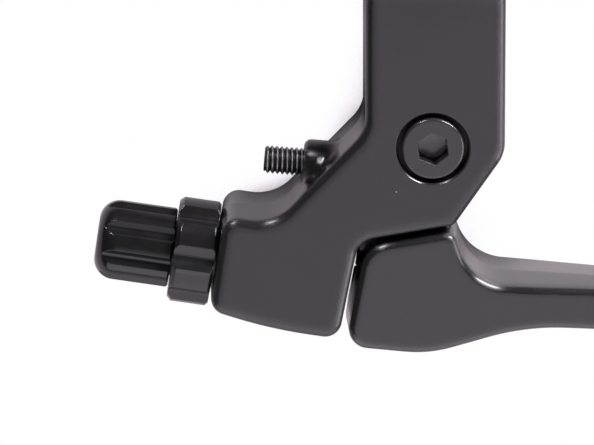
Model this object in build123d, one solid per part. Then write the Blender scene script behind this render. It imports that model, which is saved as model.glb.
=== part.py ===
from build123d import *
import os
from math import acos, atan, cos, degrees, radians, sin, tan

# Bicycle brake lever, in millimetres.
# The origin is the middle of the bar clamp. +X runs along the bar towards the ball end of the lever,
# +Y points from the lever to the rider and +Z is the side of the bracket that faces up on the bar.

# Bar clamp
BAR_DIAMETER = 22.2
CLAMP_WALL = 4.2
SLIT_WIDTH = 2.0
SLIT_LEVEL = -4.2
LUG_REACH = 24.5
LUG_RISE = 1.1
LUG_CORNER_SHARE = 0.48
LUG_ROOT_SHARE = 0.4
LUG_BLEND = 8.0
CLAMP_BOLT_REACH = 19.6
CLAMP_BOLT_DIAMETER = 5.0
CLAMP_HEAD_DIAMETER = 8.5
CLAMP_HEAD_HEIGHT = 5.0
CLAMP_HEAD_ROOM = 0.35
CLAMP_HEAD_CHAMFER = 0.4
CLAMP_SOCKET = 4.0
CLAMP_SOCKET_DEPTH = 2.5
CLAMP_THREAD_DEPTH = 8.0

# Cast bracket: arm, pivot fork and cable block
PIVOT_OFFSET = 38.0
BODY_THICKNESS = 16.0
BODY_DRAFT_ANGLE = 2.0
BODY_EDGE = 1.05
ARM_WIDTH = 19.8
ARM_BLEND = 9.0
SHOULDER_REACH = 10.4
SHOULDER_DROP = 1.1
SHOULDER_RADIUS = 5.6
FORK_DROP = 12.05
FORK_ANGLE = 9.9
TOE_REACH = 1.2
TOE_RADIUS = 1.8
CROOK_SIDE = 9.7
CROOK_TOP = 2.4
CROOK_ANGLE = 46.5
CROOK_TOP_RADIUS = 5.5
CROOK_RADIUS = 6.3
CABLE_ARM = 22.3
CABLE_ANGLE = 8.6
BLOCK_FACE = 27.8
BLOCK_RISE = 8.1
BLOCK_DROP_OUTER = 6.4
BLOCK_DROP_INNER = 7.95
BLOCK_BELLY = 18.5
BLOCK_BELLY_SHARE = 0.6
BLOCK_END = 8.2
BLOCK_END_ANGLE = 2.3
BLOCK_CORNER = 2.6
GAP_CORNER = 3.2

# Pivot fork slot, bolt, bushes and washers
SLOT_HEIGHT = 8.4
SLOT_CLEARANCE = 0.8
HUB_RADIUS = 7.6
HUB_HEIGHT = 7.2
PIVOT_SHANK = 6.0
PIVOT_THREAD = 5.0
PIVOT_HEAD_DIAMETER = 8.8
PIVOT_HEAD_HEIGHT = 2.2
PIVOT_HEAD_RIM = 0.35
PIVOT_HEAD_PROUD = 0.2
PIVOT_SEAT_DIAMETER = 10.2
PIVOT_SEAT_RIM = 0.2
PIVOT_SOCKET = 4.1
PIVOT_SOCKET_DEPTH = 2.7
PIVOT_DRILL = 3.8
PIVOT_DRILL_DEPTH = 3.1
PIVOT_SOCKET_ANGLE = 38.0
NUT_WIDTH = 8.0
NUT_HEIGHT = 4.0
NUT_COLLAR = 1.3
THREAD_PAST_NUT = 0.8
BUSH_WALL = 1.0
BUSH_LENGTH = 3.3
BUSH_CLEARANCE = 0.03
WASHER_DIAMETER = 14.4
WASHER_THICKNESS = 0.5
BOLT_CLEARANCE = 0.05

# Return spring round the pivot
SPRING_RADIUS = 5.7
SPRING_WIRE = 0.9
SPRING_PITCH = 1.0
SPRING_TURNS = 2.25
SPRING_ROOM = 0.5
SPRING_HEADROOM = 0.2
SPRING_LEG_ANGLE = 110.0
SPRING_TANG = 1.6

# Lever: knuckle, tongue and blade
PULL_ANGLE = 30.0
LEVER_THICKNESS = 15.6
LEVER_DRAFT_ANGLE = 3.0
LEVER_EDGE = 0.85
FORK_GAP = 0.35
KNUCKLE_GAP = 0.5
KNUCKLE_ANGLE = 1.9
KNUCKLE_TOP_RADIUS = 4.6
KNUCKLE_DROP = 9.05
KNUCKLE_CORNER = 3.2
BELLY_ALONG = 4.4
BELLY_DROP = 8.4
BELLY_RADIUS = 18.0
NECK_REACH = 1.2
NECK_CORNER = 1.9
NECK_RADIUS = 7.2
NECK_ALONG = 9.0
NECK_RISE = 3.55
TONGUE_LEAN_ANGLE = 8.5
TONGUE_INSET = 1.4
TONGUE_FLANK_ANGLE = -20.0
BLADE_WIDTH = 6.6
BLADE_ROOT_ANGLE = 3.9
BLADE_END_ANGLE = 11.0
BLADE_BEND = 30.0
BLADE_LENGTH = 82.0
BLADE_BEND_SHARE = 0.47
BELLY_ANGLE = 16.5
BLADE_ROOT_RADIUS = 30.0
BLADE_STEP_START = 6.0
BLADE_STEP_LENGTH = 24.0
BLADE_HEIGHT = 12.4
BLADE_END_HEIGHT = 10.4
BLADE_END_WIDTH = 6.0
BALL_RADIUS = 5.4
BALL_BLEND = 9.0

# Cable anchor in the knuckle
ANCHOR_ALONG = -0.6
ANCHOR_DIAMETER = 10.0
ANCHOR_ROOF = 1.2
ANCHOR_SKIRT = 2.6
ANCHOR_CLEARANCE = 0.06
NIPPLE_DIAMETER = 7.2
NIPPLE_HEIGHT = 6.8
CABLE_SLOT = 2.2

# Barrel adjuster and lock ring
STEM_DIAMETER = 8.0
STEM_GRIP = 13.0
STEM_CLEARANCE = 0.05
RING_DIAMETER = 15.1
RING_WIDTH = 5.9
RING_CLEARANCE = 0.05
RING_CHAMFER = 0.4
RING_RIM = 0.6
RING_FLUTES = 7
RING_FLUTE_SLOPE_ANGLE = 30.0
RING_FLUTE_ROUND = 1.4
RING_FLUTE_START_ANGLE = 8.5
KNOB_GAP = 0.15
KNOB_DIAMETER = 11.4
KNOB_LENGTH = 10.9
KNOB_DOME = 2.9
KNOB_RIM = 0.25
KNOB_FLUTES = 8
KNOB_FLUTE_SLOPE_ANGLE = 34.0
KNOB_FLUTE_ROUND = 0.7
KNOB_FLUTE_START_ANGLE = -10.0
HOUSING_DIAMETER = 5.1
HOUSING_DEPTH = 10.0
CABLE_HOLE = 2.4

# Reach screw and its boss
REACH_DIAMETER = 4.0
REACH_LENGTH = 15.0
REACH_ANGLE = 5.0
REACH_DROP = 6.3
REACH_GAP = 0.3
REACH_POINT = 0.6
REACH_SOCKET = 2.0
REACH_SOCKET_DEPTH = 2.0
REACH_CLEARANCE = 0.05
BOSS_DIAMETER = 6.7
BOSS_LENGTH = 9.0
BOSS_RIM = 1.0
BOSS_BLEND = 1.3

# The least angle between two faces that counts as a corner, and the least gap between two points
CORNER_ANGLE = 25.0
SAME_POINT = 0.01

CLAMP_RADIUS = BAR_DIAMETER / 2 + CLAMP_WALL
LUG_BOTTOM = CLAMP_RADIUS - LUG_RISE
SLOT_RADIUS = HUB_RADIUS + SLOT_CLEARANCE
SEAT_DEPTH = PIVOT_HEAD_HEIGHT - PIVOT_HEAD_PROUD
SEAT_LEVEL = BODY_THICKNESS / 2 - SEAT_DEPTH
FROM_BELOW = (Align.CENTER, Align.CENTER, Align.MIN)


def from_pivot(x, y):
    """A point in plan, measured from the pivot axis."""
    return Vector(x, y - PIVOT_OFFSET)


def turned(angle):
    """A unit vector in plan at an angle from +X."""
    return Vector(cos(radians(angle)), sin(radians(angle)))


def under_fork(along, drop):
    """A point in plan below the pivot, along and square to the lower edge of the fork."""
    return from_pivot(0, 0) + turned(FORK_ANGLE) * along + turned(FORK_ANGLE - 90) * drop


def on_cable(along, rise):
    """A point in plan along and square to the cable, from the foot of its lever arm about the pivot."""
    inward = turned(-CABLE_ANGLE)
    square = turned(90 - CABLE_ANGLE)
    return from_pivot(0, 0) + inward * along + square * (rise - CABLE_ARM)


def crossing(start, angle, other, other_angle):
    """The point where two lines in plan cross, each given by a point and its angle."""
    first = turned(angle)
    second = turned(other_angle)
    between = other - start
    spread = first.X * second.Y - first.Y * second.X
    return start + first * ((between.X * second.Y - between.Y * second.X) / spread)


def outline(corners):
    """A closed face in plan from corners, each a point with the radius that rounds it."""
    points = [point for point, _ in corners]
    return make_face(FilletPolyline(*points, radius=[radius for _, radius in corners], close=True))


def drafted(face, height, draft):
    """A casting's walls: the face grown both ways from the parting plane with draft."""
    lower = extrude(face, -height, taper=draft)
    return lower + mirror(lower, Plane.XY)


def sharp_edges(solid):
    """The edges where two faces meet at a real corner, without tangent joins and the parting line."""
    faces = solid.faces()
    sharp = ShapeList()
    for edge in solid.edges():
        middle = edge @ 0.5
        sides = [face for face in faces if any(edge.is_same(other) for other in face.edges())]
        normals = [face.normal_at(middle) for face in sides]
        if len(normals) == 2 and normals[0].get_angle(normals[1]) > CORNER_ANGLE:
            sharp.append(edge)
    return sharp


def hexagon(width, depth):
    """A hexagonal prism across flats, rising from its base."""
    return extrude(RegularPolygon(width / 2, 6, major_radius=False), depth)


def cable_plane(along):
    """A plane square to the cable that looks out of the bracket along the barrel."""
    return Plane(on_cable(along, 0), z_dir=-turned(-CABLE_ANGLE), x_dir=(0, 0, 1))


# Bracket


def bracket_plan():
    """The outline of the bracket on its parting plane."""
    half_arm = ARM_WIDTH / 2
    far_end = CLAMP_RADIUS + CLAMP_WALL
    crook_top = from_pivot(-CROOK_SIDE, CROOK_TOP)
    belly_run = BLOCK_FACE - BLOCK_BELLY
    belly_turn = atan((BLOCK_DROP_INNER - BLOCK_DROP_OUTER) / belly_run)
    belly_radius = belly_run * BLOCK_BELLY_SHARE / tan(belly_turn / 2)
    toe = under_fork(TOE_REACH, FORK_DROP)
    block_end = on_cable(-BLOCK_END, 0)
    end_angle = 90 - CABLE_ANGLE - BLOCK_END_ANGLE
    floor = on_cable(0, -BLOCK_DROP_INNER)
    return outline(
        [
            (Vector(half_arm, far_end), 0),
            (Vector(-half_arm, far_end), 0),
            (crook_top, CROOK_TOP_RADIUS),
            (crossing(crook_top, CROOK_ANGLE, on_cable(0, BLOCK_RISE), -CABLE_ANGLE), CROOK_RADIUS),
            (on_cable(-BLOCK_FACE, BLOCK_RISE), BLOCK_CORNER),
            (on_cable(-BLOCK_FACE, -BLOCK_DROP_OUTER), BLOCK_CORNER),
            (on_cable(-BLOCK_BELLY, -BLOCK_DROP_INNER), belly_radius),
            (crossing(block_end, end_angle, floor, -CABLE_ANGLE), BLOCK_CORNER),
            (crossing(block_end, end_angle, toe, FORK_ANGLE), GAP_CORNER),
            (toe, TOE_RADIUS),
            (from_pivot(SHOULDER_REACH, -SHOULDER_DROP), SHOULDER_RADIUS),
        ]
    )


def bracket_side():
    """The outline of the bracket seen along the bar: clamp ring, arm and clamp lug."""
    half = BODY_THICKNESS / 2
    reach = PIVOT_OFFSET + CABLE_ARM + BLOCK_FACE
    arm = Pos(-reach / 2, 0) * Rectangle(reach, BODY_THICKNESS)
    lug = Pos(-LUG_REACH / 2, -LUG_BOTTOM / 2) * Rectangle(LUG_REACH, LUG_BOTTOM)
    face = Circle(CLAMP_RADIUS) + arm + lug
    lug_wall = LUG_BOTTOM - half
    ring_join = -((CLAMP_RADIUS**2 - half**2) ** 0.5)
    lug_join = -((CLAMP_RADIUS**2 - LUG_BOTTOM**2) ** 0.5)
    for corner, radius in [
        (Vector(ring_join, half), ARM_BLEND),
        (Vector(lug_join, -LUG_BOTTOM), LUG_BLEND),
        (Vector(-LUG_REACH, -LUG_BOTTOM), lug_wall * LUG_CORNER_SHARE),
        (Vector(-LUG_REACH, -half), lug_wall * LUG_ROOT_SHARE),
    ]:
        nearest = face.vertices().sort_by_distance(corner)[0]
        face = fillet(nearest, radius)
    return face


def bracket_blank():
    """The cast form: plan and side outlines crossed, with every outer edge rounded."""
    span = BLOCK_FACE + CABLE_ARM + ARM_WIDTH
    walls = drafted(bracket_plan(), CLAMP_RADIUS + CLAMP_WALL, BODY_DRAFT_ANGLE)
    sides = extrude(Plane.YZ * bracket_side(), span, both=True)
    blank = (walls & sides).solid()
    return blank.fillet(BODY_EDGE, sharp_edges(blank))


def beside_flank(off_hub, down):
    """A point in plan beside the tongue's left flank, off the hub's centre and down the flank."""
    outward = turned(180 - TONGUE_LEAN_ANGLE)
    downward = turned(270 - TONGUE_LEAN_ANGLE)
    return from_pivot(0, 0) + outward * off_hub + downward * down


def reach_plane(distance):
    """A plane square to the reach screw, at a distance out from its point."""
    outward = turned(180 - REACH_ANGLE)
    point = beside_flank(HUB_RADIUS + REACH_GAP, REACH_DROP)
    return Plane(point + outward * distance, z_dir=outward, x_dir=(0, 0, 1))


def reach_boss():
    """The round boss on the crook that carries the reach screw, from inside the web to its face."""
    wall = (SLOT_CLEARANCE - REACH_GAP) / cos(radians(TONGUE_LEAN_ANGLE - REACH_ANGLE))
    boss = reach_plane(wall) * Cylinder(BOSS_DIAMETER / 2, BOSS_LENGTH, align=FROM_BELOW)
    rim = boss.edges().sort_by(Axis.X)[0]
    return boss.fillet(BOSS_RIM, [rim])


def off_reach_axis(point):
    """The distance of a point from the axis of the reach screw."""
    local = reach_plane(0).to_local_coords(point)
    return Vector(local.X, local.Y).length


def bracket_casting():
    """The cast form with the boss blended into the crook, each half up to the parting plane by itself."""
    blank = bracket_blank()
    boss = reach_boss()
    halves = []
    for side in (Keep.TOP, Keep.BOTTOM):
        half = (split(blank, Plane.XY, keep=side) + split(boss, Plane.XY, keep=side)).solid()
        roots = [
            edge
            for edge in half.edges().filter_by(GeomType.BSPLINE)
            if abs(off_reach_axis(edge @ 0.5) - BOSS_DIAMETER / 2) < SAME_POINT
        ]
        halves.append(half.fillet(BOSS_BLEND, roots))
    return halves[0] + halves[1]


def clamp_cuts():
    """The bar bore, the slit that lets the ring close, and the seat and thread of the clamp bolt."""
    width = ARM_WIDTH * 2
    bore = Plane.YZ * Cylinder(BAR_DIAMETER / 2, width)
    end = LUG_REACH + SLIT_WIDTH
    level = Pos(-end / 2, SLIT_LEVEL - SLIT_WIDTH / 2) * Rectangle(end, SLIT_WIDTH)
    depth = LUG_BOTTOM + SLIT_LEVEL + SLIT_WIDTH
    drop = Pos(SLIT_WIDTH / 2 - end, SLIT_LEVEL - depth / 2) * Rectangle(SLIT_WIDTH, depth)
    slit = extrude(Plane.YZ * (level + drop), width, both=True)
    below = Pos(0, -CLAMP_BOLT_REACH, -LUG_BOTTOM - BOLT_CLEARANCE)
    seat = below * Cylinder(CLAMP_HEAD_DIAMETER / 2 + CLAMP_HEAD_ROOM, CLAMP_HEAD_HEIGHT, align=FROM_BELOW)
    hole_length = LUG_BOTTOM + SLIT_LEVEL + CLAMP_THREAD_DEPTH + CLAMP_BOLT_DIAMETER / 2
    hole = below * Cylinder(CLAMP_BOLT_DIAMETER / 2 + BOLT_CLEARANCE, hole_length, align=FROM_BELOW)
    return bore + slit + seat + hole


def fork_slot():
    """The milled slot for the lever's tongue, open at the front and the right of the fork."""
    length = CABLE_ARM
    wall = beside_flank(SLOT_RADIUS, 0)
    foot = beside_flank(SLOT_RADIUS, length)
    left = make_face(Polyline(wall, foot, from_pivot(0, -length), from_pivot(0, 0), close=True))
    right_length = length + SLOT_RADIUS
    right = Pos(ARM_WIDTH / 2, SLOT_RADIUS - right_length / 2) * Rectangle(ARM_WIDTH, right_length)
    plan = left + Pos(from_pivot(0, 0)) * (Circle(SLOT_RADIUS) + right)
    return extrude(plan, SLOT_HEIGHT / 2, both=True)


def pivot_seats():
    """The pivot hole through both cheeks of the fork, with a round-rimmed counterbore on each side."""
    hole = Cylinder(PIVOT_SHANK / 2 + BOLT_CLEARANCE, BODY_THICKNESS * 2)
    top = BODY_THICKNESS / 2
    seat = Pos(0, 0, SEAT_LEVEL) * Cylinder(PIVOT_SEAT_DIAMETER / 2, SEAT_DEPTH, align=FROM_BELOW)
    rim = Pos(0, 0, top - PIVOT_SEAT_RIM) * Cone(
        PIVOT_SEAT_DIAMETER / 2, PIVOT_SEAT_DIAMETER / 2 + PIVOT_SEAT_RIM, PIVOT_SEAT_RIM, align=FROM_BELOW
    )
    return Pos(from_pivot(0, 0)) * (hole + seat + rim + mirror(seat + rim, Plane.XY))


def barrel_hole():
    """The threaded hole for the barrel adjuster and the cable's way through the block."""
    face = cable_plane(-BLOCK_FACE)
    thread = face * Pos(0, 0, -STEM_GRIP) * Cylinder(
        STEM_DIAMETER / 2 + STEM_CLEARANCE, STEM_GRIP * 2, align=FROM_BELOW
    )
    way = face * Cylinder(CABLE_HOLE / 2, BLOCK_FACE * 2)
    return thread + way


def lever_body():
    """The bracket with its boss, slot, bores and threaded holes."""
    reach_hole = reach_plane(0) * Cylinder(REACH_DIAMETER / 2 + REACH_CLEARANCE, REACH_LENGTH * 2)
    return bracket_casting() - clamp_cuts() - fork_slot() - pivot_seats() - barrel_hole() - reach_hole


def clamp_bolt():
    """Socket screw that closes the clamp, with its head flush in the lug."""
    head = Cylinder(CLAMP_HEAD_DIAMETER / 2, CLAMP_HEAD_HEIGHT - BOLT_CLEARANCE, align=FROM_BELOW)
    head = head.chamfer(CLAMP_HEAD_CHAMFER, None, [head.edges().sort_by(Axis.Z)[0]])
    shank_length = LUG_BOTTOM + SLIT_LEVEL + CLAMP_THREAD_DEPTH
    shank = Cylinder(CLAMP_BOLT_DIAMETER / 2, shank_length, align=FROM_BELOW)
    socket = hexagon(CLAMP_SOCKET, CLAMP_SOCKET_DEPTH)
    return Pos(0, -CLAMP_BOLT_REACH, -LUG_BOTTOM) * (head + shank - socket)


# Pivot


def pivot_bolt():
    """Shouldered socket bolt through both cheeks, with a threaded end for its nut."""
    head = Cylinder(PIVOT_HEAD_DIAMETER / 2, PIVOT_HEAD_HEIGHT, align=FROM_BELOW)
    head = head.fillet(PIVOT_HEAD_RIM, [head.edges().sort_by(Axis.Z)[-1]])
    shoulder = SEAT_LEVEL * 2 - BOLT_CLEARANCE
    shank = Pos(0, 0, -shoulder) * Cylinder(PIVOT_SHANK / 2, shoulder, align=FROM_BELOW)
    end = SEAT_LEVEL * 2 + NUT_HEIGHT + THREAD_PAST_NUT
    thread = Pos(0, 0, -end) * Cylinder(PIVOT_THREAD / 2, end, align=FROM_BELOW)
    socket = Pos(0, 0, PIVOT_HEAD_HEIGHT - PIVOT_SOCKET_DEPTH) * Rot(0, 0, PIVOT_SOCKET_ANGLE) * hexagon(
        PIVOT_SOCKET, PIVOT_SOCKET_DEPTH
    )
    drill = Pos(0, 0, PIVOT_HEAD_HEIGHT - PIVOT_DRILL_DEPTH) * Cylinder(
        PIVOT_DRILL / 2, PIVOT_DRILL_DEPTH, align=FROM_BELOW
    )
    return Pos(from_pivot(0, 0)) * Pos(0, 0, SEAT_LEVEL) * (head + shank + thread - socket - drill)


def pivot_nut():
    """Locking nut in the lower counterbore, with its round collar outward."""
    nut = hexagon(NUT_WIDTH, NUT_HEIGHT - NUT_COLLAR)
    collar = Cylinder(NUT_WIDTH / 2, NUT_HEIGHT, align=FROM_BELOW)
    collar = collar.fillet(NUT_COLLAR / 2, [collar.edges().sort_by(Axis.Z)[-1]])
    hole = Cylinder(PIVOT_THREAD / 2 + BOLT_CLEARANCE, NUT_HEIGHT * 3)
    return Pos(from_pivot(0, 0)) * Pos(0, 0, -SEAT_LEVEL) * Rot(180, 0, 0) * (nut + collar - hole)


def bush_radius():
    """The outer radius of a pivot bush, which is the bore of the hub."""
    return PIVOT_SHANK / 2 + BUSH_CLEARANCE + BUSH_WALL


def pivot_bush():
    """The upper of the two plain bushes pressed into the hub."""
    sleeve = Cylinder(bush_radius(), BUSH_LENGTH, align=FROM_BELOW)
    hole = Cylinder(PIVOT_SHANK / 2 + BUSH_CLEARANCE, BUSH_LENGTH * 3)
    return Pos(from_pivot(0, 0)) * Pos(0, 0, HUB_HEIGHT / 2 - BUSH_LENGTH) * (sleeve - hole)


def pivot_washer():
    """The upper of the two thrust washers between the hub and the cheeks."""
    disc = Cylinder(WASHER_DIAMETER / 2, WASHER_THICKNESS)
    hole = Cylinder(PIVOT_SHANK / 2 + BOLT_CLEARANCE, WASHER_THICKNESS * 3)
    return Pos(from_pivot(0, 0)) * Pos(0, 0, (SLOT_HEIGHT + HUB_HEIGHT) / 4) * (disc - hole)


def spring_height():
    """The height of the coil between the centres of its two end wires."""
    return SPRING_PITCH * SPRING_TURNS


def spring_floor():
    """The level of the lowest wire's centre, just above the lower washer."""
    return BOLT_CLEARANCE + SPRING_WIRE / 2 - HUB_HEIGHT / 2


def spring_leg():
    """The length of the straight leg, from the coil to the end wall of the fork's slot."""
    rise = SLOT_RADIUS - BOLT_CLEARANCE * 2 - SPRING_WIRE / 2
    return (rise - (turned(SPRING_LEG_ANGLE) * SPRING_RADIUS).Y) / turned(SPRING_LEG_ANGLE - 90).Y


def return_spring():
    """Torsion spring: a coil, a leg against the bracket and a tang up into the hub."""
    wire = SPRING_WIRE / 2
    coil_path = Helix(SPRING_PITCH, spring_height(), SPRING_RADIUS)
    start = coil_path @ 0
    end = coil_path @ 1
    leg_way = -(coil_path % 0)
    coil = sweep(Plane(start, z_dir=coil_path % 0) * Circle(wire), coil_path)
    leg = Plane(start, z_dir=leg_way) * Cylinder(wire, spring_leg(), align=FROM_BELOW)
    tang = Pos(end) * (Sphere(wire) + Cylinder(wire, SPRING_TANG, align=FROM_BELOW))
    place = Pos(from_pivot(0, 0)) * Pos(0, 0, spring_floor()) * Rot(0, 0, SPRING_LEG_ANGLE)
    return place * (coil + leg + tang)


# Lever


def knuckle_corner():
    """The corner of the knuckle under the fork, where the neck begins."""
    return under_fork(NECK_REACH, FORK_DROP + FORK_GAP)


def lever_plan():
    """The outline of the knuckle and the blade on their parting plane, with the ball end."""
    face = on_cable(KNUCKLE_GAP - BLOCK_END, 0)
    face_angle = 90 - CABLE_ANGLE - KNUCKLE_ANGLE
    floor = on_cable(0, -KNUCKLE_DROP)
    neck = on_cable(NECK_ALONG, NECK_RISE)
    belly = on_cable(BELLY_ALONG, -BELLY_DROP)
    bend = neck + turned(-BLADE_ROOT_ANGLE) * BLADE_BEND
    bend_radius = BLADE_BEND * BLADE_BEND_SHARE / tan(radians(BLADE_END_ANGLE - BLADE_ROOT_ANGLE) / 2)
    end = bend + turned(-BLADE_END_ANGLE) * (BLADE_LENGTH - BLADE_BEND)
    under_neck = neck + turned(-BLADE_ROOT_ANGLE - 90) * BLADE_WIDTH
    under_end = end + turned(-BLADE_END_ANGLE - 90) * BLADE_END_WIDTH
    under_bend = bend + turned(-BLADE_END_ANGLE - 90) * BLADE_WIDTH
    plan = outline(
        [
            (crossing(face, face_angle, knuckle_corner(), FORK_ANGLE), KNUCKLE_TOP_RADIUS),
            (crossing(face, face_angle, floor, -CABLE_ANGLE), KNUCKLE_CORNER),
            (belly, BELLY_RADIUS),
            (crossing(belly, BELLY_ANGLE, under_neck, -BLADE_ROOT_ANGLE), BLADE_ROOT_RADIUS),
            (under_bend, bend_radius),
            (under_end, 0),
            (end, 0),
            (bend, bend_radius),
            (neck, NECK_RADIUS),
            (knuckle_corner(), NECK_CORNER),
        ]
    )
    ball = (end + under_end) / 2
    plan = plan + Pos(ball) * Circle(BALL_RADIUS)
    joins = plan.vertices().sort_by_distance(ball)
    joins = [corner for corner in joins if abs((Vector(corner) - ball).length - BALL_RADIUS) < SAME_POINT]
    return fillet([corner for corner in joins if corner.X < ball.X], BALL_BLEND)


def lever_side():
    """The lever's outline from the front: the knuckle steps down to a blade that thins to its end."""
    top = LEVER_THICKNESS / 2
    blade = BLADE_HEIGHT / 2
    start = (-BLOCK_FACE, top)
    step = (BLADE_STEP_START, top)
    middle = (BLADE_STEP_START + BLADE_STEP_LENGTH / 2, (top + blade) / 2)
    foot = (BLADE_STEP_START + BLADE_STEP_LENGTH, blade)
    end = (BLADE_LENGTH + BLOCK_FACE, BLADE_END_HEIGHT / 2)
    flat = Line(start, step)
    down = TangentArc(step, middle, tangent=flat % 1)
    up = TangentArc(middle, foot, tangent=down % 1)
    thin = TangentArc(foot, end, tangent=up % 1)
    rest = Polyline(end, (end[0], 0), (start[0], 0), start)
    half = make_face(flat + down + up + thin + rest)
    return half + mirror(half, Plane.XZ)


def lever_blank():
    """The forged form: plan and side outlines crossed, with every outer edge rounded."""
    walls = drafted(lever_plan(), LEVER_THICKNESS, LEVER_DRAFT_ANGLE)
    sides = extrude(Plane.XZ * lever_side(), PIVOT_OFFSET + CABLE_ARM + BLADE_LENGTH, both=True)
    blank = (walls & sides).solid()
    return blank.fillet(LEVER_EDGE, sharp_edges(blank))


def tongue():
    """The flat tongue from the pivot hub down into the knuckle, with a straight flank for the reach screw."""
    foot = under_fork(NECK_REACH - TONGUE_INSET, FORK_DROP + FORK_GAP + NECK_CORNER)
    top = beside_flank(HUB_RADIUS, 0)
    flank = Polyline(
        top,
        crossing(top, 270 - TONGUE_LEAN_ANGLE, foot, FORK_ANGLE),
        foot,
        from_pivot(0, 0) + turned(TONGUE_FLANK_ANGLE) * HUB_RADIUS,
        close=True,
    )
    plan = make_face(flank) + Pos(from_pivot(0, 0)) * Circle(HUB_RADIUS)
    return extrude(plan, HUB_HEIGHT / 2, both=True)


def spring_room():
    """The ring-shaped recess for the spring, the window for its leg over the pull, and the tang's hole."""
    wire = SPRING_WIRE / 2
    inner = SPRING_RADIUS - wire - SPRING_ROOM
    outer = SPRING_RADIUS + wire + SPRING_ROOM
    depth = spring_height() + SPRING_WIRE + SPRING_HEADROOM
    recess = Cylinder(outer, depth, align=FROM_BELOW) - Cylinder(inner, depth * 3)
    side = degrees((wire + SPRING_ROOM) / SPRING_RADIUS)
    near = SPRING_LEG_ANGLE - degrees(acos(SPRING_RADIUS / outer)) + side
    far = SPRING_LEG_ANGLE - degrees(acos(SPRING_RADIUS / HUB_RADIUS)) - PULL_ANGLE - side
    reach = HUB_RADIUS * 2
    pie = make_face(Polyline((0, 0), turned(far) * reach, turned(near) * reach, close=True))
    window = extrude(pie - Circle(inner), SPRING_WIRE + SPRING_ROOM)
    tang_depth = depth + SPRING_TANG
    tang_place = Pos(turned(SPRING_LEG_ANGLE + 360 * SPRING_TURNS) * SPRING_RADIUS)
    tang = tang_place * Cylinder(wire + BOLT_CLEARANCE, tang_depth, align=FROM_BELOW)
    return Pos(from_pivot(0, 0)) * Pos(0, 0, -HUB_HEIGHT / 2) * (recess + window + tang)


def anchor_top():
    """The level of the anchor's top over the cable."""
    return NIPPLE_HEIGHT / 2 + ANCHOR_ROOF


def cable_way():
    """The anchor's bore from below, the cable's swing over the pull and the slot that lets the cable out."""
    centre = on_cable(ANCHOR_ALONG, 0)
    height = LEVER_THICKNESS
    bore_radius = ANCHOR_DIAMETER / 2 + ANCHOR_CLEARANCE
    top = anchor_top() + ANCHOR_CLEARANCE
    bore = Pos(centre) * Pos(0, 0, top - height) * Cylinder(bore_radius, height, align=FROM_BELOW)
    rest = 180 - CABLE_ANGLE
    pulled = rest - PULL_ANGLE
    reach = BLOCK_END * 2
    side = CABLE_SLOT / 2
    swing = make_face(
        Polyline(
            turned(rest + 90) * side,
            turned(rest + 90) * side + turned(rest) * reach,
            turned(pulled - 90) * side + turned(pulled) * reach,
            turned(pulled - 90) * side,
            close=True,
        )
    )
    out = Pos(turned(rest) * reach / 2) * Rot(0, 0, rest) * Rectangle(reach, CABLE_SLOT)
    return bore + Pos(centre) * (extrude(swing, side, both=True) + extrude(out, -height))


def lever_blade():
    """The lever with its tongue, bush bore, spring recess and cable way."""
    bush_bore = Pos(from_pivot(0, 0)) * Cylinder(bush_radius(), LEVER_THICKNESS)
    return lever_blank() + tongue() - bush_bore - spring_room() - cable_way()


def cable_anchor():
    """Swivelling cradle for the cable's nipple, open below and slotted towards the barrel."""
    height = anchor_top() + NIPPLE_HEIGHT / 2 + ANCHOR_SKIRT
    bottom = Pos(0, 0, anchor_top() - height)
    pin = bottom * Cylinder(ANCHOR_DIAMETER / 2, height, align=FROM_BELOW)
    pocket = Pos(0, 0, NIPPLE_HEIGHT / 2 - height) * Cylinder(NIPPLE_DIAMETER / 2, height, align=FROM_BELOW)
    slot_height = height - anchor_top() + CABLE_SLOT / 2
    slot = Box(ANCHOR_DIAMETER, CABLE_SLOT, slot_height)
    slot = bottom * Pos(-ANCHOR_DIAMETER / 2, 0, slot_height / 2) * slot
    return Pos(on_cable(ANCHOR_ALONG, 0)) * Rot(0, 0, -CABLE_ANGLE) * (pin - pocket - slot)


# Barrel adjuster and lock ring


def flutes(radius, count, slope, bottom, length, start):
    """Finger flutes round a knob, as wide as the lands between them: a ring of prisms with a rounded root."""
    side = radians(90 / count)
    edge = Vector(radius * cos(side), radius * sin(side))
    root = Vector(edge.X - edge.Y * tan(radians(slope)), 0)
    over = root + (edge - root) * 2
    groove = extrude(outline([(root, bottom), (Vector(over.X, -over.Y), 0), (over, 0)]), length)
    return [Rot(0, 0, start + 360 * turn / count) * groove for turn in range(count)]


def lock_ring():
    """Scalloped ring on the adjuster's stem, up against the block."""
    radius = RING_DIAMETER / 2
    ring = Cylinder(radius, RING_WIDTH, align=FROM_BELOW)
    rims = ring.edges().sort_by(Axis.Z)
    ring = ring.chamfer(RING_CHAMFER, None, [rims[0]]).chamfer(RING_RIM, None, [rims[-1]])
    hole = Cylinder(STEM_DIAMETER / 2 + STEM_CLEARANCE, RING_WIDTH * 3)
    grip = flutes(
        radius, RING_FLUTES, RING_FLUTE_SLOPE_ANGLE, RING_FLUTE_ROUND, RING_WIDTH, RING_FLUTE_START_ANGLE
    )
    return cable_plane(-BLOCK_FACE - RING_CLEARANCE) * (ring - hole - grip)


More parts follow.
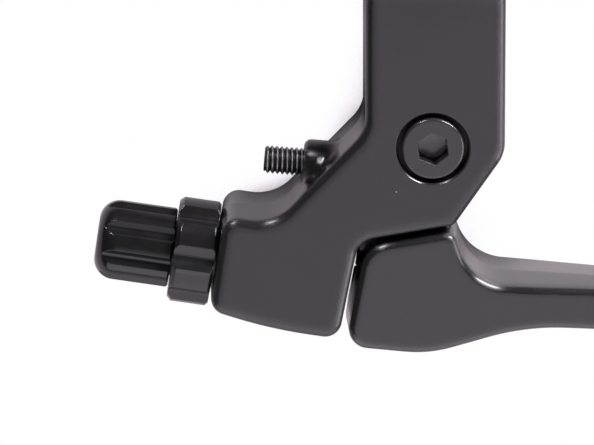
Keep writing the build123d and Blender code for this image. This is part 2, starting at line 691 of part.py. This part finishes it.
def barrel_adjuster():
    """Fluted knob with a round end, a socket for the cable housing and a hollow threaded stem."""
    radius = KNOB_DIAMETER / 2
    knob = Cylinder(radius, KNOB_LENGTH, align=FROM_BELOW)
    rims = knob.edges().sort_by(Axis.Z)
    knob = knob.fillet(KNOB_DOME, [rims[-1]]).chamfer(KNOB_RIM, None, [rims[0]])
    knob -= flutes(
        radius, KNOB_FLUTES, KNOB_FLUTE_SLOPE_ANGLE, KNOB_FLUTE_ROUND, KNOB_LENGTH, KNOB_FLUTE_START_ANGLE
    )
    stack = RING_CLEARANCE + RING_WIDTH + KNOB_GAP
    stem_length = stack + STEM_GRIP - STEM_CLEARANCE
    stem = Pos(0, 0, -stem_length) * Cylinder(STEM_DIAMETER / 2, stem_length, align=FROM_BELOW)
    housing = Pos(0, 0, KNOB_LENGTH - HOUSING_DEPTH) * Cylinder(
        HOUSING_DIAMETER / 2, HOUSING_DEPTH, align=FROM_BELOW
    )
    way = Cylinder(CABLE_HOLE / 2, (stem_length + KNOB_LENGTH) * 2)
    return cable_plane(-BLOCK_FACE - stack) * (knob + stem - housing - way)


def reach_screw():
    """Socket set screw with a rounded point that the tongue rests on."""
    screw = Cylinder(REACH_DIAMETER / 2, REACH_LENGTH, align=FROM_BELOW)
    rims = screw.edges().sort_by(Axis.Z)
    screw = screw.fillet(REACH_POINT, [rims[0]]).chamfer(REACH_POINT / 2, None, [rims[-1]])
    socket = Pos(0, 0, REACH_LENGTH - REACH_SOCKET_DEPTH) * hexagon(REACH_SOCKET, REACH_SOCKET_DEPTH)
    return reach_plane(0) * (screw - socket)


bush = pivot_bush()
washer = pivot_washer()
PIECES = {
    "lever_body": lever_body(),
    "clamp_bolt": clamp_bolt(),
    "lever_blade": lever_blade(),
    "pivot_bolt": pivot_bolt(),
    "pivot_nut": pivot_nut(),
    "pivot_bush_upper": bush,
    "pivot_bush_lower": mirror(bush, Plane.XY),
    "pivot_washer_upper": washer,
    "pivot_washer_lower": mirror(washer, Plane.XY),
    "return_spring": return_spring(),
    "cable_anchor": cable_anchor(),
    "barrel_adjuster": barrel_adjuster(),
    "lock_ring": lock_ring(),
    "reach_screw": reach_screw(),
}

os.makedirs("parts", exist_ok=True)
for name, shape in PIECES.items():
    export_step(shape, f"parts/{name}.step")
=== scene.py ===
from math import cos, pi, radians, sin

import bmesh
import bpy
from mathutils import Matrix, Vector


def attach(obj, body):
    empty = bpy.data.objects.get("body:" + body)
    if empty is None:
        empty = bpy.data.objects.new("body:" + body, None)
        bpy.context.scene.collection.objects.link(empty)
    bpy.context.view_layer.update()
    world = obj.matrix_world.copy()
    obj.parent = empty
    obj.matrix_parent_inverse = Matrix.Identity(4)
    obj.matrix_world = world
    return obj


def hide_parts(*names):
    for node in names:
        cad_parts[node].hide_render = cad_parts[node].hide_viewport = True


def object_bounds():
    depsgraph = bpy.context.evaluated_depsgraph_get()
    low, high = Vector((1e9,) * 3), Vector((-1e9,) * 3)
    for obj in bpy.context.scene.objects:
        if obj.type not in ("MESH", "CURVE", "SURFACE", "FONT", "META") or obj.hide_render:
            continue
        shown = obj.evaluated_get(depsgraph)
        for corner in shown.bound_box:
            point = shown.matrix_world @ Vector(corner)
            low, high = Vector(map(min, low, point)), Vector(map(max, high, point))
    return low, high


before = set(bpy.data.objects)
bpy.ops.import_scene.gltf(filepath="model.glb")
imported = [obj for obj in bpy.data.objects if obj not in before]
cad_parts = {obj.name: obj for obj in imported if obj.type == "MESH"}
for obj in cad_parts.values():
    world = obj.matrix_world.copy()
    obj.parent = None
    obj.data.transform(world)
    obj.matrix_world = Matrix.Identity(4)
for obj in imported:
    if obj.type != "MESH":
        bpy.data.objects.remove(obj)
cad_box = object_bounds()

MM = 0.001


def metres(*lengths):
    """Lengths in millimetres, in Blender's unit."""
    return [length * MM for length in lengths]


def turned(angle):
    """A unit vector in plan, at an angle in degrees from +X."""
    return Vector((cos(radians(angle)), sin(radians(angle)), 0))


# Sizes and places on the part, in millimetres and degrees

PIVOT = (0.0, -38.0)
COUNTERBORE_RADIUS = 5.18
COUNTERBORE_RIM = 7.78
COUNTERBORE_SURROUND = 6.5
ABOVE_BRACKET = 9.0
SOCKET_RADIUS = 1.95
SOCKET_BOTTOM = 5.6

TONGUE_LEAN_ANGLE = 8.5
REACH_OFF_HUB = 7.9
REACH_DOWN_FLANK = 6.3
REACH_ANGLE = 5.0
REACH_LENGTH = 15.0
REACH_RADIUS = 1.99
REACH_PITCH = 0.7
REACH_KEY = 2.0
REACH_KEY_DEPTH = 2.0
BOSS_ALONG = 7.5
BOSS_RADIUS = 4.8

off_hub = turned(180 - TONGUE_LEAN_ANGLE) * REACH_OFF_HUB
down_flank = turned(270 - TONGUE_LEAN_ANGLE) * REACH_DOWN_FLANK
reach_point = Vector((*PIVOT, 0)) + off_hub + down_flank
reach_out = turned(180 - REACH_ANGLE)
boss_middle = reach_point + reach_out * BOSS_ALONG


class Wire:
    """A socket of a finish, so that its maths reads as plain expressions, with a number on either side."""

    def __init__(self, finish, socket):
        self.finish = finish
        self.socket = socket

    def math(self, operation, first, second=0.0):
        return self.finish.add("ShaderNodeMath", {"operation": operation}, {0: first, 1: second})

    def __add__(self, other):
        return self.math("ADD", self, other)

    def __radd__(self, other):
        return self.math("ADD", other, self)

    def __sub__(self, other):
        return self.math("SUBTRACT", self, other)

    def __rsub__(self, other):
        return self.math("SUBTRACT", other, self)

    def __mul__(self, other):
        return self.math("MULTIPLY", self, other)

    def __rmul__(self, other):
        return self.math("MULTIPLY", other, self)

    def __truediv__(self, other):
        return self.math("DIVIDE", self, other)

    def __rtruediv__(self, other):
        return self.math("DIVIDE", other, self)

    def __lt__(self, other):
        return self.math("LESS_THAN", self, other)

    def __gt__(self, other):
        return self.math("GREATER_THAN", self, other)


class Finish:
    """One procedural material, built up node by node."""

    def __init__(self, name):
        self.material = bpy.data.materials.new(name)
        self.material.use_nodes = True
        self.tree = self.material.node_tree
        self.tree.nodes.clear()
        self.place = self.add("ShaderNodeTexCoord", {}, {}, "Object")

    def add(self, kind, settings, sockets, output=0):
        """A node of that type, with its settings and its sockets' values or links. Gives one output."""
        node = self.tree.nodes.new(kind)
        for name, value in settings.items():
            if name == "stops":
                ramp = node.color_ramp.elements
                while len(ramp) < len(value):
                    ramp.new(0.5)
                for element, (position, shade) in zip(ramp, value):
                    element.position = position
                    element.color = (shade, shade, shade, 1)
            else:
                setattr(node, name, value)
        for name, value in sockets.items():
            if isinstance(value, Wire):
                self.tree.links.new(value.socket, node.inputs[name])
            else:
                node.inputs[name].default_value = value
        return Wire(self, node.outputs[output]) if node.outputs else None

    def noise(self, size, detail=3.0, roughness=0.5):
        """Noise whose features are about that many metres across, from 0 to 1."""
        sockets = {"Vector": self.place, "Scale": 1 / size, "Detail": detail, "Roughness": roughness}
        return self.add("ShaderNodeTexNoise", {}, sockets, "Fac")

    def ramp(self, value, *stops):
        """A value through a ramp of (position, level) stops."""
        return self.add("ShaderNodeValToRGB", {"stops": stops}, {"Fac": value})

    def graded(self, length, *stops):
        """A length through a ramp of (length, level) stops, level before the first and after the last."""
        start = stops[0][0]
        span = stops[-1][0] - start
        shares = [((place - start) / span, level) for place, level in stops]
        return self.ramp((length - start) / span, *shares)

    def blend(self, share, first, second):
        """Two colours or normals mixed by a share from 0 to 1."""
        sockets = {"Factor": share, "A": first, "B": second}
        return self.add("ShaderNodeMix", {"data_type": "RGBA"}, sockets, 2)

    def specks(self, spacing, radius, share):
        """A mask of small round specks, in a share of cells of that spacing."""
        cells = {"Vector": self.place, "Scale": 1 / spacing}
        settings = {"voronoi_dimensions": "3D"}
        near = self.add("ShaderNodeTexVoronoi", settings, cells, "Distance") < radius / spacing
        chance = self.add("ShaderNodeTexVoronoi", settings, cells, "Color")
        picked = self.add("ShaderNodeSeparateColor", {}, {"Color": chance}, "Red") < share
        return near * picked

    def vector(self, operation, first, second=(0, 0, 0), output="Vector"):
        """Vector maths on one or two vectors."""
        return self.add("ShaderNodeVectorMath", {"operation": operation}, {0: first, 1: second}, output)

    def axis(self, name):
        """One coordinate of the place, X, Y or Z, in metres."""
        return self.add("ShaderNodeSeparateXYZ", {}, {"Vector": self.place}, name)

    def inside_bore(self, x, y, radius, top):
        """A mask of what lies within an upright bore, below the level of its rim."""
        across = self.axis("X") - x
        along = self.axis("Y") - y
        return (across * across + along * along < radius * radius) * (self.axis("Z") < top)

    def near(self, point, radius):
        """A mask that is 1 round a point and fades to 0 at a distance from it."""
        distance = self.vector("DISTANCE", self.place, point, output="Value")
        return self.ramp(distance / radius, (0.7, 1.0), (1.0, 0.0))

    def off_axis(self, point, direction):
        """The distance from a line through a point along a unit direction."""
        arm = self.vector("SUBTRACT", self.place, point)
        across = self.vector("CROSS_PRODUCT", arm, direction)
        return self.vector("LENGTH", across, output="Value")

    def soft(self, edge):
        """The normal with edges softened to a radius."""
        return self.add("ShaderNodeBevel", {"samples": 6}, {"Radius": edge}, "Normal")

    def upward(self):
        """How far the surface faces up, from -1 to 1."""
        facing = self.add("ShaderNodeNewGeometry", {}, {}, "Normal")
        return self.add("ShaderNodeSeparateXYZ", {}, {"Vector": facing}, "Z")

    def bump(self, height, depth, over=None):
        """A normal from a height that rises by so many metres, over another normal."""
        sockets = {"Strength": 1.0, "Distance": depth, "Height": height}
        if over:
            sockets["Normal"] = over
        return self.add("ShaderNodeBump", {}, sockets, "Normal")

    def done(self, **sockets):
        """The surface from a Principled shader; sockets are named with underscores for spaces."""
        named = {name.replace("_", " "): value for name, value in sockets.items()}
        shader = self.add("ShaderNodeBsdfPrincipled", {}, named)
        self.add("ShaderNodeOutputMaterial", {}, {"Surface": shader})
        return self.material


# Finishes

def grey(level, warmth=0.0):
    """A nearly neutral colour; warmth above 0 leans to red."""
    return (level * (1 + warmth), level, level * (1 + warmth / 2), 1)


def satin_paint(name, shade, matt, coat, edge, bore_painted_shade=None, thick=None, drilled_painted_light=None, wall=None, crisp=None):
    """Black satin paint with a fine skin, dust and soft edges.

    Painted shade makes a bore's inside near black and dull, paint that lies thick round a point is glossy,
    and painted light makes a drilled bottom pale.
    Walls may have a wider soft edge than the top, and the surround of a bore has a crisp one.
    """
    paint = Finish(name)
    mottle = paint.noise(size=9 * MM, detail=4)
    skin = paint.noise(size=0.35 * MM, detail=2)
    dust = paint.specks(spacing=2.6 * MM, radius=0.07 * MM, share=0.06)
    body = paint.blend(mottle, grey(shade * 0.85, warmth=0.04), grey(shade * 1.15, warmth=0.02))
    colour = paint.blend(dust, body, grey(0.50))
    rough = paint.ramp(mottle, (0.3, matt), (0.7, matt + 0.05)) + dust * 0.3
    normal = paint.soft(edge)
    # Painted shade: the inside of the bore is painted near black and dull, as the shade that falls in it.
    if bore_painted_shade:
        bore = paint.inside_bore(*bore_painted_shade)
        colour = paint.blend(bore, colour, grey(0.004))
        rough = rough + bore * 0.25
        coat = (1 - bore) * coat
    if thick:
        run = paint.near(*thick)
        colour = paint.blend(run, colour, grey(0.006))
        rough = rough - run * 0.18
    # Painted light: the drilled bottom of the socket is painted pale so that it looks lit.
    if drilled_painted_light:
        colour = paint.blend(paint.inside_bore(*drilled_painted_light), colour, grey(0.30, warmth=0.03))
    if wall:
        top = paint.ramp(paint.upward(), (0.8, 0.0), (0.98, 1.0))
        normal = paint.blend(top, paint.soft(wall), normal)
    if crisp:
        normal = paint.blend(paint.inside_bore(*crisp), normal, paint.soft(0.2 * MM))
    return paint.done(
        Base_Color=colour,
        Roughness=rough,
        Coat_Weight=coat,
        Coat_Roughness=0.05,
        Normal=paint.bump(skin, depth=0.0012 * MM, over=normal),
    )


def gloss_black(name, shade):
    """Black anodised turned aluminium: deep and glossy, with a faint grain and dust."""
    anodised = Finish(name)
    mottle = anodised.noise(size=3 * MM, detail=3)
    grain = anodised.noise(size=0.3 * MM, detail=2)
    dust = anodised.specks(spacing=2.2 * MM, radius=0.09 * MM, share=0.20)
    body = anodised.blend(mottle, grey(shade * 0.7, warmth=0.05), grey(shade * 1.3, warmth=0.03))
    return anodised.done(
        Base_Color=anodised.blend(dust, body, grey(0.45)),
        Roughness=anodised.ramp(mottle, (0.3, 0.13), (0.7, 0.21)) + dust * 0.4,
        Normal=anodised.bump(grain, depth=0.002 * MM, over=anodised.soft(0.22 * MM)),
    )


def screw_with_painted_crest_glints(name, shade, point, direction, crest):
    """Black oxide on a screw, with a painted highlight along the crests of its thread in pale metal."""
    oxide = Finish(name)
    mottle = oxide.noise(size=1.2 * MM, detail=3)
    grain = oxide.noise(size=0.2 * MM, detail=2)
    height = oxide.off_axis(point, direction) / crest
    # Painted highlight: the crests are painted pale and metallic in place of the glints along them.
    crest_glint = oxide.ramp(height + mottle * 0.02, (0.965, 0.0), (1.0, 1.0))
    body = oxide.blend(mottle, grey(shade * 0.6), grey(shade * 1.4))
    return oxide.done(
        Base_Color=oxide.blend(crest_glint, body, grey(0.42)),
        Metallic=crest_glint * 0.8,
        Roughness=oxide.ramp(mottle, (0.3, 0.25), (0.7, 0.38)),
        Normal=oxide.bump(grain, depth=0.002 * MM),
    )


def bare_metal(name, colour, stain, smooth):
    """Plain metal with a mottle between its own colour and a stain."""
    metal = Finish(name)
    mottle = metal.noise(size=2 * MM, detail=5, roughness=0.6)
    grain = metal.noise(size=0.2 * MM, detail=2)
    return metal.done(
        Base_Color=metal.blend(metal.ramp(mottle, (0.45, 0.0), (0.75, 1.0)), (*colour, 1), (*stain, 1)),
        Metallic=1.0,
        Roughness=metal.ramp(mottle, (0.3, smooth), (0.7, smooth + 0.15)),
        Normal=metal.bump(grain, depth=0.003 * MM),
    )


def nylon(name):
    """Pale moulded nylon."""
    plastic = Finish(name)
    cloud = plastic.noise(size=1.5 * MM, detail=3)
    return plastic.done(
        Base_Color=plastic.blend(cloud, (0.62, 0.60, 0.55, 1), (0.74, 0.72, 0.67, 1)),
        Roughness=plastic.ramp(cloud, (0.3, 0.4), (0.7, 0.55)),
        Normal=plastic.bump(cloud, depth=0.01 * MM),
    )


bracket_black = satin_paint(
    "bracket_black",
    shade=0.010,
    matt=0.20,
    coat=0.5,
    edge=2.2 * MM,
    # Painted shade inside the counterbore round the pivot bolt.
    bore_painted_shade=metres(*PIVOT, COUNTERBORE_RADIUS, COUNTERBORE_RIM),
    thick=(boss_middle * MM, BOSS_RADIUS * MM),
    crisp=metres(*PIVOT, COUNTERBORE_SURROUND, ABOVE_BRACKET),
)
lever_black = satin_paint("lever_black", shade=0.007, matt=0.14, coat=0.9, edge=1.6 * MM, wall=3.8 * MM)
bolt_black = satin_paint(
    "bolt_black",
    shade=0.018,
    matt=0.20,
    coat=0.4,
    edge=0.2 * MM,
    # Painted light on the bottom of the bolt's socket.
    drilled_painted_light=metres(*PIVOT, SOCKET_RADIUS, SOCKET_BOTTOM),
)
barrel_black = gloss_black("barrel_black", shade=0.007)
ring_black = gloss_black("ring_black", shade=0.008)
# The reach screw's finish carries painted highlights on its thread crests.
screw_black = screw_with_painted_crest_glints("screw_black", 0.010, reach_point * MM, reach_out, REACH_RADIUS * MM)
nut_steel = bare_metal("nut_steel", (0.60, 0.60, 0.58), (0.42, 0.41, 0.39), smooth=0.25)
bush_bronze = bare_metal("bush_bronze", (0.62, 0.40, 0.20), (0.40, 0.25, 0.13), smooth=0.3)
washer_plastic = nylon("washer_plastic")
spring_steel = bare_metal("spring_steel", (0.50, 0.50, 0.50), (0.30, 0.29, 0.28), smooth=0.28)
anchor_brass = bare_metal("anchor_brass", (0.72, 0.53, 0.24), (0.50, 0.35, 0.16), smooth=0.25)

finishes = {
    "lever_body": bracket_black,
    "lever_blade": lever_black,
    "pivot_bolt": bolt_black,
    "clamp_bolt": bolt_black,
    "barrel_adjuster": barrel_black,
    "lock_ring": ring_black,
    "reach_screw": screw_black,
    "pivot_nut": nut_steel,
    "pivot_bush_upper": bush_bronze,
    "pivot_bush_lower": bush_bronze,
    "pivot_washer_upper": washer_plastic,
    "pivot_washer_lower": washer_plastic,
    "return_spring": spring_steel,
    "cable_anchor": anchor_brass,
}

for name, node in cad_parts.items():
    node.data.materials.clear()
    node.data.materials.append(finishes[name])


# Reach screw

def skin(name, rings, body, node, slot):
    """A closed mesh over a stack of rings with equal counts of points, in place of a node on its body."""
    mesh = bmesh.new()
    rows = [[mesh.verts.new(point) for point in ring] for ring in rings]
    for lower, upper in zip(rows, rows[1:]):
        for turn in range(len(lower)):
            mesh.faces.new((lower[turn - 1], lower[turn], upper[turn], upper[turn - 1]))
    mesh.faces.new(reversed(rows[0]))
    mesh.faces.new(rows[-1])
    data = bpy.data.meshes.new(name)
    mesh.to_mesh(data)
    mesh.free()
    data.materials.append(finishes[node])
    piece = bpy.data.objects.new(name, data)
    bpy.context.scene.collection.objects.link(piece)
    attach(piece, body)
    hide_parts(node)


def threaded_reach_screw():
    """The reach screw with its helical thread, a rounded point and a hexagon socket in its free end."""
    around = 64
    per_turn = 14
    depth = REACH_PITCH * 0.5
    flank = 2.6
    crest = 0.2
    point_radius = REACH_RADIUS * 0.62
    end_radius = REACH_RADIUS * 0.82
    taper = 0.9
    side = Vector((-reach_out.y, reach_out.x, 0))
    up = Vector((0, 0, 1))

    def ring(along, radius_at):
        """Points round the screw, at a distance along it from its point."""
        points = []
        for turn in range(around):
            angle = 2 * pi * turn / around
            spoke = side * cos(angle) + up * sin(angle)
            points.append((reach_point + reach_out * along + spoke * radius_at(angle)) * MM)
        return points

    def thread(along):
        """How the radius changes with the angle, at a distance along the screw."""

        def radius_at(angle):
            phase = (along / REACH_PITCH - angle / (2 * pi)) % 1
            groove = min(max(abs(phase - 0.5) * flank - crest, 0.0), 1.0)
            point = point_radius + along * taper
            end = end_radius + (REACH_LENGTH - along) * taper
            return min(REACH_RADIUS - depth * groove, point, end)

        return radius_at

    def key(angle):
        """The radius of the hexagon socket at an angle."""
        return REACH_KEY / 2 / cos((angle + pi / 6) % (pi / 3) - pi / 6)

    rows = int(REACH_LENGTH / REACH_PITCH * per_turn)
    steps = [REACH_LENGTH * row / rows for row in range(rows + 1)]
    rings = [ring(along, thread(along)) for along in steps]
    rings.append(ring(REACH_LENGTH, key))
    rings.append(ring(REACH_LENGTH - REACH_KEY_DEPTH, key))
    skin("reach_screw_threaded", rings, "screw", "reach_screw", "screw_black")


threaded_reach_screw()

# Floor

WHITE = (1, 1, 1, 1)
BLACK = (0, 0, 0, 1)
PALE_SHADOW = (0.93, 0.88, 0.95, 1)
DEEP_SHADOW = (0.02, 0.02, 0.02, 1)
MIRRORED_PAPER = (1.0, 0.91, 0.98, 1)
LEVEL_BY_ARM = 0.47
LEVEL_BESIDE = 0.73
PAPER_GREY = (0.8, 0.8, 0.8, 1)
SHADOW_REACH = 14 * MM
FLOOR_REACH = 3.0


def white_paper():
    """Paper that looks white with a painted shadow close to the part, and a painted reflection that is
    darker behind and under it.
    """
    paper = Finish("white_paper")
    seen = paper.add("ShaderNodeLightPath", {}, {}, "Is Camera Ray")
    mirrored = paper.add("ShaderNodeLightPath", {}, {}, "Is Glossy Ray")
    open_sky = paper.add("ShaderNodeAmbientOcclusion", {"samples": 32}, {"Distance": SHADOW_REACH}, "AO")

    # Painted shadow: the paper's colour goes pink and then near black where little sky is open round it.
    pale_painted_shadow = paper.blend(paper.ramp(open_sky, (0.48, 0.0), (0.62, 1.0)), PALE_SHADOW, WHITE)
    shaded = paper.blend(paper.ramp(open_sky, (0.43, 0.0), (0.51, 1.0)), DEEP_SHADOW, pale_painted_shadow)

    # Painted reflection: what shiny parts see of the paper is darker by the arm, ahead of it and under the
    # parts.
    beside = paper.graded(paper.axis("X"), (-40 * MM, 1.0), (-28 * MM, 0.0), (-10 * MM, 0.0), (15 * MM, 1.0))
    behind = (paper.axis("Y") + beside * (30 * MM)) * (beside + 1)
    ahead = paper.graded(behind, (-20 * MM, 1.0), (40 * MM, 0.02))
    clear = paper.ramp(open_sky, (0.58, 0.0), (0.76, 1.0))
    level = beside * (LEVEL_BESIDE - LEVEL_BY_ARM) + LEVEL_BY_ARM
    painted_reflection = paper.blend(level * ahead * clear, BLACK, MIRRORED_PAPER)

    plain = paper.add("ShaderNodeBsdfDiffuse", {}, {"Color": PAPER_GREY})
    shown = paper.blend(mirrored, shaded, painted_reflection)
    glow = paper.add("ShaderNodeEmission", {}, {"Color": shown, "Strength": 1.0})
    surface = paper.add("ShaderNodeMixShader", {}, {0: seen + mirrored, 1: plain, 2: glow})
    paper.add("ShaderNodeOutputMaterial", {}, {"Surface": surface})
    return paper.material


sides = [(-1, -1), (1, -1), (1, 1), (-1, 1)]
corners = [(x * FLOOR_REACH, y * FLOOR_REACH, cad_box[0][2]) for x, y in sides]
floor_mesh = bpy.data.meshes.new("floor")
floor_mesh.from_pydata(corners, [], [(0, 1, 2, 3)])
floor_mesh.materials.append(white_paper())
floor = bpy.data.objects.new("floor", floor_mesh)
bpy.context.scene.collection.objects.link(floor)

# Light

LIT_PLACE = Vector((-0.01, -0.045, 0))
LAMP_COLOUR = (1.0, 0.955, 1.02)
ROOM_GREY = (0.08, 0.08, 0.08, 1)
LAMPS = {
    "overhead": {"place": (0.06, -0.31, 0.75), "width": 0.50, "height": 0.40, "brightness": 0.82},
    "front": {"place": (0.00, -0.80, 0.49), "width": 1.40, "height": 0.90, "brightness": 1.50},
    "right": {"place": (0.72, -0.26, 0.42), "width": 0.70, "height": 0.60, "brightness": 4.0},
    "window": {"place": (0.56, 0.64, 0.33), "width": 0.46, "height": 0.26, "brightness": 46.0},
    "back_left": {"place": (-0.47, 1.00, 0.46), "width": 0.30, "height": 0.10, "brightness": 85.0},
}


def softbox(name, place, width, height, brightness):
    """A rectangular lamp that faces the part, with the same brightness all over."""
    lamp = bpy.data.lights.new(name, "AREA")
    lamp.shape = "RECTANGLE"
    lamp.size = width
    lamp.size_y = height
    lamp.energy = brightness * width * height * pi
    lamp.color = LAMP_COLOUR
    box = bpy.data.objects.new(name, lamp)
    box.location = place
    box.rotation_euler = (LIT_PLACE - Vector(place)).to_track_quat("-Z", "Y").to_euler()
    bpy.context.scene.collection.objects.link(box)


for name, setting in LAMPS.items():
    softbox(name, **setting)

world = bpy.data.worlds.new("studio")
world.use_nodes = True
world.node_tree.nodes["Background"].inputs["Color"].default_value = ROOM_GREY
bpy.context.scene.world = world

# Camera

CAMERA_AIM = Vector((-0.01904, -0.051233, 0))
CAMERA_DISTANCE = 0.6
CAMERA_TILT = radians(17)
CAMERA_SENSOR = 36
CAMERA_LENS = 254.5

camera = bpy.data.cameras.new("camera")
camera.sensor_width = CAMERA_SENSOR
camera.lens = CAMERA_LENS
eye = bpy.data.objects.new("camera", camera)
eye.location = CAMERA_AIM + Vector((0, sin(CAMERA_TILT), cos(CAMERA_TILT))) * CAMERA_DISTANCE
eye.rotation_euler = (-CAMERA_TILT, 0, 0)
bpy.context.scene.collection.objects.link(eye)
bpy.context.scene.camera = eye

scene = bpy.context.scene
scene.view_settings.view_transform = "Standard"
